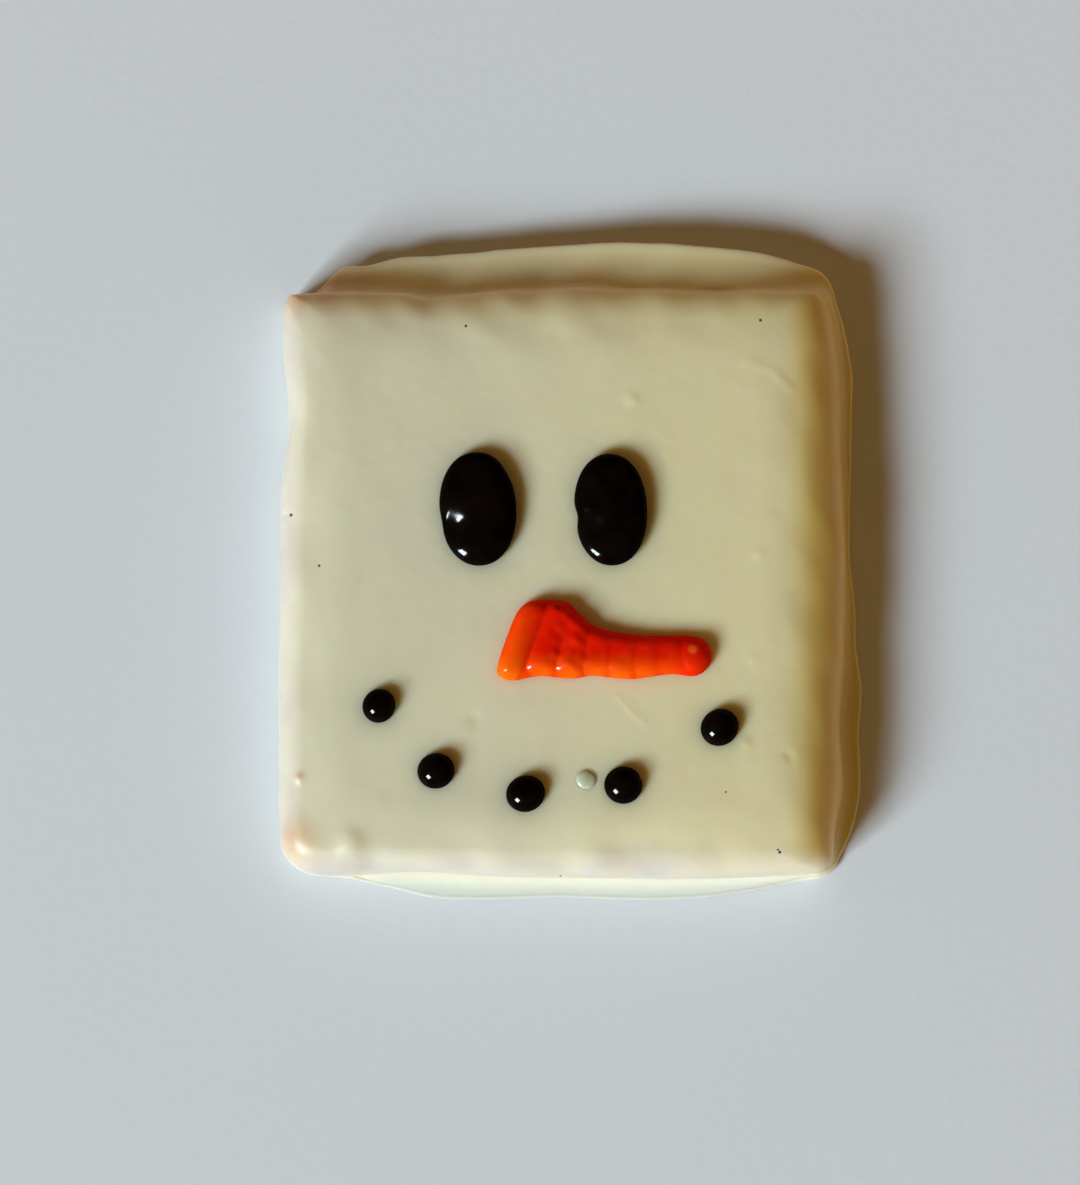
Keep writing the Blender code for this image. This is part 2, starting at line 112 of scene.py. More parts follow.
FOOT_CLIMBS = {"right": 1.0, "back": 1.5, "left": 0.6, "front": 1.0}  # at the wall, over the edge
FOOT_FALL = 2.0  # how fast the foot's top flattens as it leaves the wall
LIP_WIDTH = 0.35
LIP_HEIGHT = 0.3
UNDER_TURNS = (0, 30, 60, 90)  # degrees round the foot's lower edge
EDGE_SHARES = (0.35, 0.7, 1.0)  # up its upright edge
EDGE_CLEARANCE = 0.002  # keeps its rings apart where the edge is thin
LIP_TURNS = (18, 36, 54, 72, 90)  # degrees round its upper edge
FOOT_MARK = -1.0  # stands for a ring's share where the ring is on the foot
LIP_MARK = -2.0  # and where it is on the foot's edge
SIDE_STEPS = 168
CORNER_STEPS = 22
FOOT_STEPS = 9
WALL_STEPS = 8
SHOULDER_STEPS = 24
CROWN_STEPS = 13
FACE_SPACING = 0.3

# Marks on the face and its rounded edge: x, y, radius, height, which is less than 0 for a pit.
MARKS = (
    (19.42, 0.89, 0.55, 0.10), (18.02, -19.06, 0.6, 0.09), (6.36, 17.15, 0.7, 0.12),
    (18.82, -10.17, 0.5, 0.07), (-10.14, -16.45, 0.75, -0.09), (22.5, -20.31, 0.45, -0.14),
    (23.3, -20.9, 0.4, 0.07), (-23.0, -29.3, 1.3, 0.42), (-28.4, -22.6, 0.42, 0.3),
    (-30.4, 5.1, 0.5, -0.15), (-9.3, 24.6, 1.6, 0.05), (14.2, 27.4, 1.4, -0.05),
)
# Thin ridges where the coat was touched as it set: points along each, half width, height.
RIDGES = (
    (((18.31, 21.43), (20.95, 20.36), (23.25, 18.22)), 0.26, 0.08),
    (((21.6, 19.9), (23.1, 18.3)), 0.16, 0.05),
    (((4.7, -14.0), (5.0, -14.36), (6.3, -15.9), (7.6, -16.97)), 0.26, 0.045),
    (((5.9, -14.3), (6.6, -15.1)), 0.2, 0.03),
)
SPECKS = (  # dark specks of cocoa and crumb: x, y, radius
    (-11.18, 25.18, 0.13), (19.95, 25.83, 0.14), (-29.52, 5.12, 0.16), (-26.43, -0.38, 0.12),
    (15.9, -24.0, 0.09), (21.5, -30.2, 0.14), (21.3, -29.95, 0.1), (-1.2, -32.6, 0.09),
)
TOASTED_SPOTS_AND_SHADOW = (  # where the cracker nearly shows, and one painted shadow: x, y, radius, strength
    (-28.6, -29.0, 2.1, 0.62), (-29.6, 29.3, 2.2, 0.9), (-26.0, 29.6, 2.4, 0.7),
    # The last spot is painted shadow on the upper side of the small bump at (-28.4, -22.6).
    (-22.5, 29.8, 2.2, 0.35), (-28.4, -22.28, 0.45, 0.35),
)
SHADE_BESIDE_ICING_REACH = 0.9  # how far the painted shade reaches round the dark chocolate
SHADE_BESIDE_ICING_STRENGTH = 0.34
BLEED_REACH = 0.55  # how far the nose's orange has bled
BLEED_STRENGTH = 0.32
# share of the painted shade on the foot's edge
LIP_SHADE_STRENGTH = 0.6


def fade(distance):
    """A bell that is 1 at the middle and almost 0 at twice its half width."""
    return np.exp(-np.square(distance))


def ease(value, low, high):
    """From 0 at low to 1 at high, with no kink at either end."""
    t = np.clip((value - low) / (high - low), 0, 1)
    return t * t * (3 - 2 * t)


def hermite(t, start, end, leaving, arriving):
    """A smooth curve from start to end as t goes from 0 to 1, with its slopes at both."""
    return (
        start * (2 * t**3 - 3 * t**2 + 1)
        + leaving * (t**3 - 2 * t**2 + t)
        + end * (3 * t**2 - 2 * t**3)
        + arriving * (t**3 - t**2)
    )


def side_weights(normals):
    """How much each side rules each point, from the way the outline faces there."""
    return {s: np.clip(normals @ np.array(d, float), 0, None) ** 2 for s, d in OUTWARD.items()}


def along(points, side):
    """Places along a side: y on the left and right, x on the front and back."""
    return points[:, 1] if side in ("left", "right") else points[:, 0]


def waves(points, normals, table):
    """How far the swells or hollows of a table stand out at each point."""
    weights = side_weights(normals)
    total = np.zeros(len(points))
    for side, swells in table.items():
        for place, width, height in swells:
            total += height * weights[side] * fade((along(points, side) - place) / width)
    return total


def stationed(points, normals, table):
    """A size that is given at stations along each side, on a smooth curve between them."""
    weights = side_weights(normals)
    total = np.zeros(len(points))
    for side, stations in table.items():
        places, values = np.array(stations, float).T
        slopes = np.gradient(values, places)
        at = np.clip(along(points, side), places[0], places[-1])
        k = np.clip(np.searchsorted(places, at) - 1, 0, len(places) - 2)
        gap = places[k + 1] - places[k]
        t = (at - places[k]) / gap
        value = hermite(t, values[k], values[k + 1], gap * slopes[k], gap * slopes[k + 1])
        total += weights[side] * np.maximum(value, values.min())
    return total


def by_side(normals, table):
    """A size that is one number for each side, blended round the corners."""
    weights = side_weights(normals)
    return sum(weights[side] * value for side, value in table.items())


def sag(y):
    """How much lower the face lies at each place along y, towards the back."""
    return BACK_SAG * np.clip((y - SAG_FROM) / (SIDES["back"] - SAG_FROM), 0, 1) ** 2


def outline(share, further=0.0):
    """Points and outward normals round the square, anticlockwise from above.

    The share is how far it is drawn in, from 0 at the wall to 1 at the edge of the face."""
    side = {name: size - FACE_INSETS[name] * share - further for name, size in SIDES.items()}
    corners = []
    for name, start in CORNER_STARTS.items():
        radius = CORNER_RADII[name] + (FACE_RADII[name] - CORNER_RADII[name]) * share
        end_y, end_x = name.split("_")
        sign_x = 1 if end_x == "right" else -1
        sign_y = 1 if end_y == "back" else -1
        centre = np.array([sign_x * (side[end_x] - radius), sign_y * (side[end_y] - radius)])
        angles = np.radians(start + np.linspace(0, 90, CORNER_STEPS + 1))
        directions = np.stack([np.cos(angles), np.sin(angles)], axis=1)
        corners.append((centre + radius * directions, directions))
    points, normals = [], []
    for (arc, directions), (next_arc, _) in zip(corners, corners[1:] + corners[:1]):
        share = np.linspace(0, 1, SIDE_STEPS + 1)[1:-1, None]
        points += [arc, arc[-1] * (1 - share) + next_arc[0] * share]
        normals += [directions, np.repeat(directions[-1:], SIDE_STEPS - 1, axis=0)]
    return np.concatenate(points), np.concatenate(normals)


class Ripple:
    """Smooth unevenness of one size: many slow waves that cross each other, about 1 high."""

    COUNT = 26

    def __init__(self, seed, length):
        draw = np.random.default_rng(seed)
        ways = draw.normal(size=(self.COUNT, 3))
        ways /= np.linalg.norm(ways, axis=1)[:, None]
        lengths = length * draw.uniform(0.7, 1.5, self.COUNT)
        self.ways = ways * (2 * math.pi / lengths)[:, None]
        self.shifts = draw.uniform(0, 2 * math.pi, self.COUNT)

    def at(self, points):
        return np.sin(points @ self.ways.T + self.shifts).sum(axis=1) / math.sqrt(self.COUNT / 2)


def distance_to_segment(points, start, end):
    start, run = np.array(start, float), np.array(end, float) - np.array(start, float)
    t = np.clip(((points - start) @ run) / max(run @ run, 1e-9), 0, 1)
    return np.linalg.norm(points - start - t[:, None] * run, axis=1)


def distance_to_path(points, path):
    return np.min([distance_to_segment(points, a, b) for a, b in zip(path, path[1:])], axis=0)


def distance_to_loop(points, loop):
    return distance_to_path(points, [*loop, loop[0]])


def inside(points, loop):
    """Which points the outline holds, by counting crossings."""
    held = np.zeros(len(points), bool)
    for (ax, ay), (bx, by) in zip(loop, np.roll(loop, -1, axis=0)):
        if ay == by:
            continue
        crosses = (points[:, 1] < ay) != (points[:, 1] < by)
        held ^= crosses & (points[:, 0] < ax + (points[:, 1] - ay) * (bx - ax) / (by - ay))
    return held


def smooth_loop(corners, spacing):
    """A closed curve through the corners, as points about spacing apart."""
    corners = np.array(corners, float)
    before, after = np.roll(corners, 1, axis=0), np.roll(corners, -1, axis=0)
    leaving = (after - before) / 2
    arriving = np.roll(leaving, -1, axis=0)
    points = []
    for start, end, *slopes in zip(corners, after, leaving, arriving):
        steps = max(2, round(np.linalg.norm(end - start) / spacing))
        points.append(hermite(np.arange(steps)[:, None] / steps, start, end, *slopes))
    return np.concatenate(points)


def hex_grid(low, high, spacing):
    """Points in staggered rows over a rectangle."""
    rows = np.arange(low[1], high[1], spacing * math.sqrt(0.75))
    columns = np.arange(low[0], high[0], spacing)
    return np.array([(x + spacing / 2 * (k % 2), y) for k, y in enumerate(rows) for x in columns])


def fill(loop, rows, spacing):
    """Points and triangles that fill a loop: its own points, the rows given inside it, and a grid."""
    grid = hex_grid(loop.min(axis=0), loop.max(axis=0), spacing)
    inner = rows[-1] if rows else loop
    grid = grid[inside(grid, inner)]
    grid = grid[distance_to_loop(grid, inner) > 0.55 * spacing]
    points = np.concatenate([loop, *rows, grid])
    edges = [(k, (k + 1) % len(loop)) for k in range(len(loop))]
    flat, _, faces, *_ = delaunay_2d_cdt([Vector(p) for p in points], edges, [], 1, 1e-5)
    return np.array([tuple(v) for v in flat]), faces


def ring_faces(count, rings):
    """Quads between rings of count points each, that follow each other upwards."""
    k = np.arange(count)
    after = (k + 1) % count
    faces = []
    for ring in range(rings - 1):
        low, high = ring * count, (ring + 1) * count
        faces.append(np.stack([low + k, low + after, high + after, high + k], axis=1))
    return np.concatenate(faces).tolist()


def add_piece(name, points, faces, finish, slot, *nodes):
    """A smooth mesh piece that rides with the cracker and stands for the given solids."""
    mesh = bpy.data.meshes.new(name)
    mesh.from_pydata((np.asarray(points) * MM).tolist(), [], faces)
    mesh.validate()
    mesh.shade_smooth()
    mesh.materials.append(finish)
    piece = bpy.data.objects.new(name, mesh)
    bpy.context.scene.collection.objects.link(piece)
    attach(piece, BODY)
    if nodes:
        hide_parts(*nodes)
    return piece


def read_points(mesh, name="co", source="vertices"):
    held = getattr(mesh, source)
    values = np.zeros(len(held) * 3, np.float32)
    held.foreach_get(name, values)
    return values.reshape(-1, 3).astype(float)


def push_out(piece, amounts):
    """Moves each point of a piece along its own normal, by so many millimetres."""
    mesh = piece.data
    mesh.update()
    normals = read_points(mesh, "vector", "vertex_normals")
    points = read_points(mesh) + normals * amounts[:, None] * MM
    mesh.vertices.foreach_set("co", points.astype(np.float32).ravel())
    mesh.update()


def paint(piece, name, values):
    """Gives a piece a number at each point, which its material reads by name."""
    layer = piece.data.attributes.new(name, "FLOAT", "POINT")
    layer.data.foreach_set("value", np.asarray(values, np.float32))


# ------ shader maths


class Socket:
    """One output of a material's nodes. Sums and products of it add the nodes that work them out."""

    def __init__(self, finish, output):
        self.finish = finish
        self.output = output

    def __add__(self, other):
        return self.finish.maths("ADD", self, other)

    def __sub__(self, other):
        return self.finish.maths("SUBTRACT", self, other)

    def __rsub__(self, other):
        return self.finish.maths("SUBTRACT", other, self)

    def __mul__(self, other):
        return self.finish.maths("MULTIPLY", self, other)

    __radd__ = __add__
    __rmul__ = __mul__

    def ease(self, low, high):
        """From 0 at low to 1 at high."""
        values = {"Value": self, "From Min": low, "From Max": high}
        return self.finish.node("ShaderNodeMapRange", {"interpolation_type": "SMOOTHSTEP"}, values)


class Finish:
    """A tree of nodes that is written as expressions."""

    def __init__(self, tree):
        self.tree = tree

    def node(self, kind, settings=None, values=None, output=0):
        """Any node: its settings, then the values or links of its sockets, and the output to use."""
        made = self.tree.nodes.new(kind)
        for name, value in (settings or {}).items():
            setattr(made, name, value)
        for name, value in (values or {}).items():
            self.put(made.inputs[name], value)
        return Socket(self, made.outputs[output])

    def put(self, target, value):
        if isinstance(value, Socket):
            self.tree.links.new(value.output, target)
        else:
            target.default_value = (*value, 1.0) if target.type == "RGBA" else value

    def maths(self, operation, first, second):
        return self.node("ShaderNodeMath", {"operation": operation}, {0: first, 1: second})

    def vector(self, operation, first, second, output=0):
        values = {0: first, 1: second}
        return self.node("ShaderNodeVectorMath", {"operation": operation}, values, output)

    def blend(self, share, first, second):
        """A colour between two."""
        made = self.tree.nodes.new("ShaderNodeMix")
        made.data_type = "RGBA"
        sockets = {s.identifier: s for s in made.inputs}
        for name, value in (("Factor_Float", share), ("A_Color", first), ("B_Color", second)):
            self.put(sockets[name], value)
        return Socket(self, next(s for s in made.outputs if s.identifier == "Result_Color"))

    def place(self):
        """The place on the piece, in millimetres."""
        point = self.node("ShaderNodeTexCoord", output="Object")
        return self.vector("MULTIPLY", point, (1 / MM, 1 / MM, 1 / MM))

    def axes(self, vector):
        made = self.tree.nodes.new("ShaderNodeSeparateXYZ")
        self.put(made.inputs[0], vector)
        return [Socket(self, s) for s in made.outputs]

    def painted(self, name):
        """A number that the piece holds at each point."""
        return self.node("ShaderNodeAttribute", {"attribute_name": name}, output="Fac")

    def noise(self, point, length, detail=2.0, stretch=None):
        """Cloudy noise about 0.5, whose patches are about length across."""
        if stretch is not None:
            point = self.vector("MULTIPLY", point, stretch)
        values = {"Vector": point, "Scale": 1 / length, "Detail": detail, "Roughness": 0.5}
        return self.node("ShaderNodeTexNoise", None, values)

    def near(self, point, place, radius, soft=0.5):
        """1 inside a round spot seen from above, and 0 outside it."""
        flat = self.vector("MULTIPLY", point, (1, 1, 0))
        away = self.vector("DISTANCE", flat, (*place, 0.0), "Value")
        return 1 - away.ease(radius * (1 - soft), radius * (1 + soft))


def new_material(name):
    """A material and its finish, with the shader's node ready to set."""
    material = bpy.data.materials.new(name)
    material.use_nodes = True
    finish = Finish(material.node_tree)
    return material, finish, material.node_tree.nodes["Principled BSDF"]


def set_shader(finish, shader, **values):
    """Sets sockets of the shader by name, with spaces for underscores."""
    for name, value in values.items():
        finish.put(shader.inputs[name.replace("_", " ")], value)


def bumped(finish, height, distance):
    """A normal that is tilted by a height, which is in units of distance in millimetres."""
    values = {"Height": height, "Distance": distance * MM, "Strength": 1.0}
    return finish.node("ShaderNodeBump", None, values)


# ------ what a user can change


def size(name, description, default):
    return FloatProperty(name=name, description=description, default=default, min=0.0)


def span(name, description, default):
    return size(name, description + ", in millimetres", default)


def colour(name, description, default):
    return FloatVectorProperty(
        name=name, description=description, default=default, subtype="COLOR", size=3, min=0.0, max=1.0
    )


class CoatSettings(bpy.types.PropertyGroup):
    """The white chocolate coat."""

    face_height: span("Face height", "From the underside to the face", 9.4)
    rim_ripple: span("Rim ripple", "Unevenness of the rounded edge", 0.05)
    fine_ripple: span("Fine ripple", "Unevenness of the face", 0.012)
    cream: colour("Cream", "The coat's own colour", (0.735, 0.71, 0.54))
    cream_light: colour("Light cream", "The paler clouds in the coat", (0.80, 0.78, 0.57))
    butter: colour("Butter", "The coat where it is thicker and yellower", (0.81, 0.745, 0.455))
    beige: colour("Beige", "Where the coat runs thin over the left and front edges", (0.57, 0.52, 0.50))
    # Painted shade: amber on the right and back edges stands for their shade and the light glowing through
    # the coat there.
    amber: colour("Amber", "Where light seeps out of the right and back edges", (0.73, 0.57, 0.17))
    # Mostly the cracker nearly showing at the corners; one small spot is painted shadow above a bump on the
    # left edge.
    toasted: colour("Toasted", "Where the cracker nearly shows at a corner", (0.60, 0.30, 0.09))
    # Partly painted light: the front foot is made paler where the light falls on it, and partly it is the
    # pale surface showing through the thin foot.
    foot: colour("Foot", "The thin foot, with the light surface under it", (1.0, 0.835, 0.675))
    # Painted shade: the foot's edge made darker and greyer, to damp the bright line the light makes along
    # it.
    lip: colour("Lip", "The foot's edge", (0.55, 0.55, 0.50))
    # Painted shade: a darker, browner band on the coat round the eyes and drops, where the icing shades it.
    beside: colour("Beside", "The coat beside the dark chocolate", (0.3, 0.25, 0.14))
    bleed: colour("Bleed", "Orange that has bled into the coat round the nose", (0.80, 0.40, 0.20))
    speck: colour("Speck", "Specks of cocoa and crumb", (0.02, 0.012, 0.008))
    roughness: size("Roughness", "How matt the coat is", 0.38)
    glow: size("Glow", "Share of the light that scatters inside the coat", 1.0)


class BeadSettings(bpy.types.PropertyGroup):
    """The stray bead of white on the face."""

    height: span("Height", "Height of the bead above the face", 0.42)
    cream: colour("Cream", "The bead's own colour", (0.50, 0.53, 0.37))
    cream_light: colour("Light cream", "The paler clouds in the bead", (0.56, 0.59, 0.43))
    roughness: size("Roughness", "How matt the bead is", 0.16)


class DarkSettings(bpy.types.PropertyGroup):
    """The dark chocolate of the eyes and the mouth."""

    eye_height: span("Eye height", "Height of an eye above the face", 2.3)
    drop_height: span("Drop height", "Height of a mouth drop above the face", 1.8)
    cocoa: colour("Cocoa", "The chocolate's own colour", (0.0022, 0.0014, 0.001))
    edge: colour("Edge", "The chocolate where it is thin", (0.01, 0.005, 0.003))
    roughness: size("Roughness", "How matt the chocolate is", 0.1)


class NoseSettings(bpy.types.PropertyGroup):
    """The orange icing of the carrot nose."""

    valley_height: span("Groove height", "Height of the grooves above the face", 1.6)
    rib_height: span("Rib height", "How far the piped ribs stand out", 0.42)
    rib_width: span("Rib width", "Half width of a piped rib", 1.45)
    # Painted light: the icing is orange where a painted light share is high and red where it is low,
    # standing for lit and shaded parts as well as thin and thick icing.
    orange: colour("Orange", "The icing where it is thin and the light passes", (1.0, 0.13, 0.002))
    red: colour("Red", "The icing where it is thick", (0.8, 0.01, 0.0005))
    # Painted highlight: a paler spot near the tip, where a small bump catches the light.
    pale: colour("Pale spot", "A bubble near the tip", (0.92, 0.22, 0.03))
    # A darker spot near the top of the nose.
    deep: colour("Deep spot", "A pit near the top", (0.25, 0.006, 0.001))
    roughness: size("Roughness", "How matt the icing is", 0.2)


class StageSettings(bpy.types.PropertyGroup):
    """The floor, the light and the camera."""

    floor: colour("Floor", "The plain floor", (0.73, 0.76, 0.80))
    key: colour("Key light", "Colour of the soft light", (0.79, 0.93, 1.0))
    key_watts: size("Key watts", "Strength of the soft light", 226.0)
    key_distance: size("Key distance", "From the cracker to the light, in metres", 4.0)
    key_size: size("Key size", "Side of the light, in metres", 1.35)
    key_elevation: size("Key elevation", "Height of the light above the table, in degrees", 30.0)
    key_azimuth: size("Key azimuth", "From the left towards the front, in degrees", 42.0)
    warm: colour("Room", "Colour of the light from the room", (1.0, 0.55, 0.18))
    room: size("Room light", "Strength of the light from the room", 0.66)
    lens: span("Lens", "Focal length", 90.41)


class Settings(bpy.types.PropertyGroup):
    """All that a user can change."""

    coat: PointerProperty(type=CoatSettings)
    bead: PointerProperty(type=BeadSettings)
    dark: PointerProperty(type=DarkSettings)
    nose: PointerProperty(type=NoseSettings)
    stage: PointerProperty(type=StageSettings)


# ------ the coat


def coat_rings(face_height):
    """Rings from the underside, round the foot, up the wall and over the shoulder on to the face.

    Each is its points, their heights and how far in it lies: 0 at the wall, 1 at the edge of the face,
    more inside that, and a mark on the foot."""
    base, normals = outline(0)
    rough = Ripple(11, 3.2).at(np.column_stack([base, np.zeros(len(base))]))
    wall = base + normals * waves(base, normals, WALL_SWELLS)[:, None]
    reach = stationed(base, normals, FOOT_REACH)
    reach = reach + FOOT_EDGE_ROUGH * rough * ease(reach, 0.3, 1.5)
    tops = stationed(base, normals, FOOT_TOPS)
    climb = by_side(normals, FOOT_CLIMBS)
    lip = np.minimum(LIP_WIDTH, 0.9 * reach)
    count = len(base)
    rings = []

    def foot_ring(out, height, inset=FOOT_MARK):
        rings.append((wall + normals * out[:, None], height, np.full(count, inset)))

    def foot_top(share):
        return tops + climb * (1 - share) ** FOOT_FALL

    for turn in np.radians(UNDER_TURNS):
        height = FOOT_EDGE_HEIGHT * (1 - math.cos(turn))
        foot_ring(reach - FOOT_UNDERCUT * (1 - math.sin(turn)), np.full(count, height), LIP_MARK)
    outer = (reach - lip) / reach
    lip_start = foot_top(outer) - np.minimum(LIP_HEIGHT, foot_top(outer) - FOOT_EDGE_HEIGHT)
    for share in EDGE_SHARES:
        height = FOOT_EDGE_HEIGHT + (lip_start - FOOT_EDGE_HEIGHT) * share + EDGE_CLEARANCE * share
        foot_ring(reach, height, LIP_MARK)
    for turn in np.radians(LIP_TURNS):
        height = lip_start + (foot_top(outer) - lip_start) * math.sin(turn)
        foot_ring(reach - lip * (1 - math.cos(turn)), height, LIP_MARK)
    for step in range(1, FOOT_STEPS + 1):
        share = outer * (1 - step / FOOT_STEPS)
        foot_ring(reach * share, foot_top(share))

    def ring(share, height, swell, wave, further=0.0):
        points, out = outline(share, further)
        stand = swell * waves(points, out, WALL_SWELLS) + wave * waves(points, out, EDGE_WAVES)
        points = points + out * stand[:, None]
        lower = sag(points[:, 1]) * (height - crease) / (face_height - crease)
        rings.append((points, height - lower, np.full(count, share + further)))

    crease = foot_top(0)
    crown = by_side(normals, FACE_CROWNS)
    drop = by_side(normals, SHOULDER_DROPS)
    fall = 2 * crown / CROWN_WIDTH * by_side(normals, FACE_INSETS)
    shoulder = face_height - crown - fall - drop
    lean = SHOULDER_LEAN / max(FACE_INSETS.values())
    for step in range(1, WALL_STEPS):
        share = step / WALL_STEPS
        height = crease + (shoulder - crease) * share
        ring(lean * share, height, 1.0, WAVE_AT_SHOULDER * share)
    for turn in np.radians(np.linspace(0, 90, SHOULDER_STEPS)):
        run = 1 - math.cos(turn) ** (2 / SHOULDER_POWER)
        rise = math.sin(turn) ** (2 / SHOULDER_POWER)
        height = shoulder + fall * run + drop * rise
        swell = 1 - (1 - SWELL_AT_FACE) * run
        wave = (WAVE_AT_SHOULDER + (1 - WAVE_AT_SHOULDER) * math.sin(turn)) * (1 - (1 - WAVE_AT_FACE) * run)
        ring(lean + (1 - lean) * run, height, swell, wave)
    for step in range(1, CROWN_STEPS + 1):
        left = 1 - step / CROWN_STEPS
        wave = WAVE_AT_FACE * left
        ring(1.0, face_height - crown * left**2, SWELL_AT_FACE * left, wave, CROWN_WIDTH * (1 - left))
    return rings


def coat_relief(points, inset, settings):
    """How far the coat's surface stands out at each point: ripples, marks and ridges."""
    edge = ease(inset, -0.5, 0.3) * (1 - ease(inset, 0.8, 4.0))
    free = ease(points[:, 2], 0.5, 1.2)
    relief = settings.rim_ripple * edge * Ripple(21, 6.5).at(points)
    relief += settings.fine_ripple * free * Ripple(22, 7.0).at(points)
    relief += 0.4 * settings.fine_ripple * free * Ripple(23, 2.2).at(points)
    flat = points[:, :2]
    upper = ease(points[:, 2], 4.0, 5.0)
    for x, y, radius, height in MARKS:
        relief += height * upper * fade(np.linalg.norm(flat - (x, y), axis=1) / radius)
    for path, width, height in RIDGES:
        relief += height * upper * fade(distance_to_path(flat, path) / width)
    return relief


def coat_mesh(settings):
    """Points and faces of the coat, and how far in from the wall each point lies."""
    rings = coat_rings(settings.face_height)
    count = len(rings[0][0])
    points = np.concatenate([np.column_stack([flat, height]) for flat, height, _ in rings])
    inset = np.concatenate([ring[2] for ring in rings])
    faces = ring_faces(count, len(rings))
    faces.append(list(range(count))[::-1])
    last = rings[-1][0]
    flat, face_faces = fill(last, [], FACE_SPACING)
    first = len(points) - count
    top = np.column_stack([flat[count:], settings.face_height - sag(flat[count:, 1])])
    points = np.concatenate([points, top])
    inset = np.concatenate([inset, np.full(len(top), 1.0 + CROWN_WIDTH)])
    faces += [[first + k for k in face] for face in face_faces]
    return points, faces, inset


def coat_material(settings):
    """White chocolate: cream, cloudy, beige where it is thin and toasted at the corners, with painted shade
    on the right and back edges, round the icing and on the foot's edge, and painted light on the front foot.
    """
    material, finish, shader = new_material("white_chocolate_coat")
    place = finish.place()
    across = finish.axes(place)[0]
    clouds = finish.noise(place, 14.0, 2.0).ease(0.32, 0.68)
    streaks = finish.noise(place, 3.0, 3.0, (1.0, 0.55, 1.0)).ease(0.3, 0.75)
    cream = finish.blend(clouds * 0.6, settings.cream, settings.cream_light)
    cream = finish.blend(across.ease(-18.0, 26.0) * (0.75 + streaks * 0.25), cream, settings.butter)
    patches = finish.noise(place, 5.5, 2.0).ease(0.35, 0.7)
    dark = 0.0
    for x, y, radius in SPECKS:
        dark = finish.near(place, (x, y), radius) + dark
    for share, tint in (
        (finish.painted("thin") * (0.5 + patches * 0.3), settings.beige),
        # painted shade and glow on the right and back edges
        (finish.painted("amber") * (0.9 + patches * 0.1), settings.amber),
        # partly painted light on the front foot
        (finish.painted("foot"), settings.foot),
        # painted shade on the foot's edge
        (finish.painted("lip") * LIP_SHADE_STRENGTH, settings.lip),
        # toasted corners, and one painted shadow
        (finish.painted("toasted") * (0.7 + patches * 0.3), settings.toasted),
        # painted shade round the eyes and drops
        (finish.painted("beside"), settings.beside),
        (finish.painted("bleed") * (0.6 + streaks * 0.4), settings.bleed),
        (dark.ease(0.0, 0.8) * 0.95, settings.speck),
    ):
        cream = finish.blend(share, cream, tint)
    fine = finish.noise(place, 0.5, 2.0)
    set_shader(
        finish,
        shader,
        Base_Color=cream,
        Roughness=settings.roughness + (fine - 0.5) * 0.12 + (patches - 0.5) * 0.06,
        IOR=1.46,
        Specular_IOR_Level=0.42,
        Subsurface_Weight=settings.glow,
        Subsurface_Radius=(1.0, 0.72, 0.38),
        Subsurface_Scale=2.2 * MM,
        Normal=bumped(finish, finish.noise(place, 1.4, 3.0) * 0.7 + fine * 0.3, 0.02),
    )
    return material


def coat_paints(points, inset, face_height):
    """How much of each tint the coat has at each point, by the tint's name."""
    flat, height = points[:, :2], points[:, 2]
    x, y = flat.T
    upper = height > face_height / 2  # paint round the icing stays off the underside
    from_left, from_front = x + SIDES["left"], y + SIDES["front"]
    over_edge = 1 - ease(np.minimum(from_left, from_front), 0.6, 4.4)
    # Painted shade: the right and back edges face away from the light, and amber is painted on them for
    # their shade and the light glowing through the coat there; the left and front edges face the light.
    lit = np.maximum(ease(-x, 20.0, 28.0), ease(-y, 29.0, 32.0))
    shaded = np.maximum(ease(x, 21.5, 26.0), 0.45 * ease(y, 24.0, 30.0))
    low = (height > 0.05) * (0.62 + 0.38 * ease(inset, -0.9, 0.0))
    toasted = np.zeros(len(points))
    for *place, radius, strength in TOASTED_SPOTS_AND_SHADOW:
        spot = strength * fade(np.linalg.norm(flat - place, axis=1) / radius)
        toasted = np.maximum(toasted, spot * ease(height, 1.0, 4.0))
    blobs = [blob_loop(blob) for blob in (*EYES.values(), *DROPS)]
    # Painted shade that falls off with the distance from each eye and drop.
    beside = np.max([np.exp(-distance_to_loop(flat, loop) / SHADE_BESIDE_ICING_REACH) for loop in blobs], axis=0)
    bleed = np.exp(-distance_to_loop(flat, nose_loop(NOSE_SPACING_BESIDE)) / BLEED_REACH)
    return {
        "thin": over_edge * np.where(from_left < 0.6, 1.0, ease(inset, -0.3, 0.0)),
        # painted shade on the sides away from the light
        "amber": shaded * (1 - lit) * low,
        # partly painted light: the lit front foot made paler, and thin over the pale floor
        "foot": (1 - ease(inset, -0.6, 0.05)) * ease(-y, 31.5, 33.3),
        # painted shade on the foot's edge, less on the sides that are already in shade
        "lip": (1 - ease(inset, LIP_MARK, FOOT_MARK)) * (1 - 0.8 * shaded),
        "toasted": toasted,
        "beside": SHADE_BESIDE_ICING_STRENGTH * beside * upper,
        "bleed": BLEED_STRENGTH * bleed * upper,
    }


class CRACKER_OT_coat(bpy.types.Operator):
    """Makes the coated square with its foot"""

    bl_idname = "cracker.coat"
    bl_label = "Coated square"

    def execute(self, context):
        settings = context.scene.snowman_cracker.coat
        points, faces, inset = coat_mesh(settings)
        coat = add_piece(
            "white_coat", points, faces, coat_material(settings), "white_chocolate", "coated_cracker"
        )
        push_out(coat, coat_relief(points, inset, settings))
        for name, values in coat_paints(points, inset, settings.face_height).items():
            paint(coat, name, values)
        return {"FINISHED"}


# ------ beads, eyes and drops

SINK = 0.08  # how deep the icing sits in the face
RING_SPREAD = 0.9  # under 1, a blob's rings lie closer at its rim


